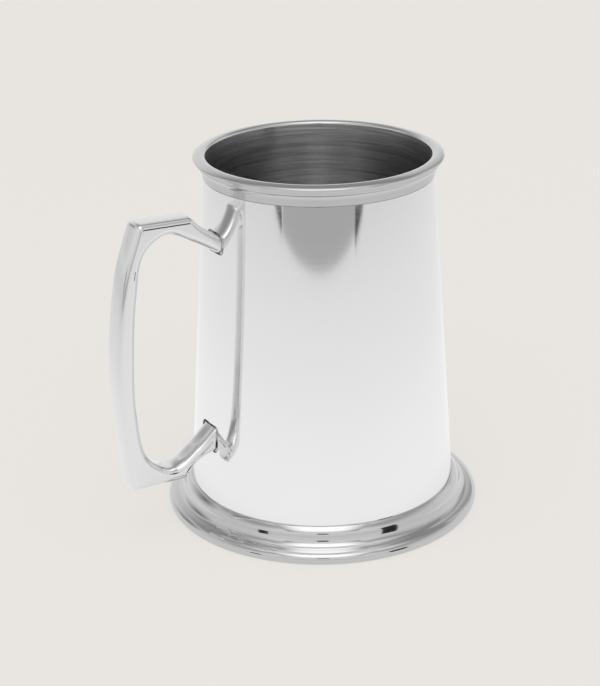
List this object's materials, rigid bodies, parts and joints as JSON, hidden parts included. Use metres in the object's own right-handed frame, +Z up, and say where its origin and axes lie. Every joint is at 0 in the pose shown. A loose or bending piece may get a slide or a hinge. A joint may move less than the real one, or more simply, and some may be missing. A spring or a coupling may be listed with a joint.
{
  "type": "pewter tankard",
  "caption": "Pewter drinking tankard with a tapered drum, a moulded rim, a spread foot and one cast handle.",
  "frame": {"origin": "on the drum's axis, at the plane that the foot stands on", "axes": "+Z up along the drum's axis, handle along -X, +Y to the left of someone who looks along +X"},
  "size_m": [0.1303, 0.1068, 0.123],
  "materials": {
    "polished_pewter": "mirror polished pewter",
    "satin_pewter": "satin, brushed round the axis",
    "tin_solder": "polished tin solder"
  },
  "bodies": {
    "root": {"drum": "polished_pewter", "drum_seam": "tin_solder", "rim_ring": "polished_pewter", "floor_disc": "satin_pewter", "foot_ring": "polished_pewter", "foot_solder": "tin_solder", "handle": "polished_pewter", "upper_handle_solder": "tin_solder", "lower_handle_solder": "tin_solder"}
  },
  "joints": []
}
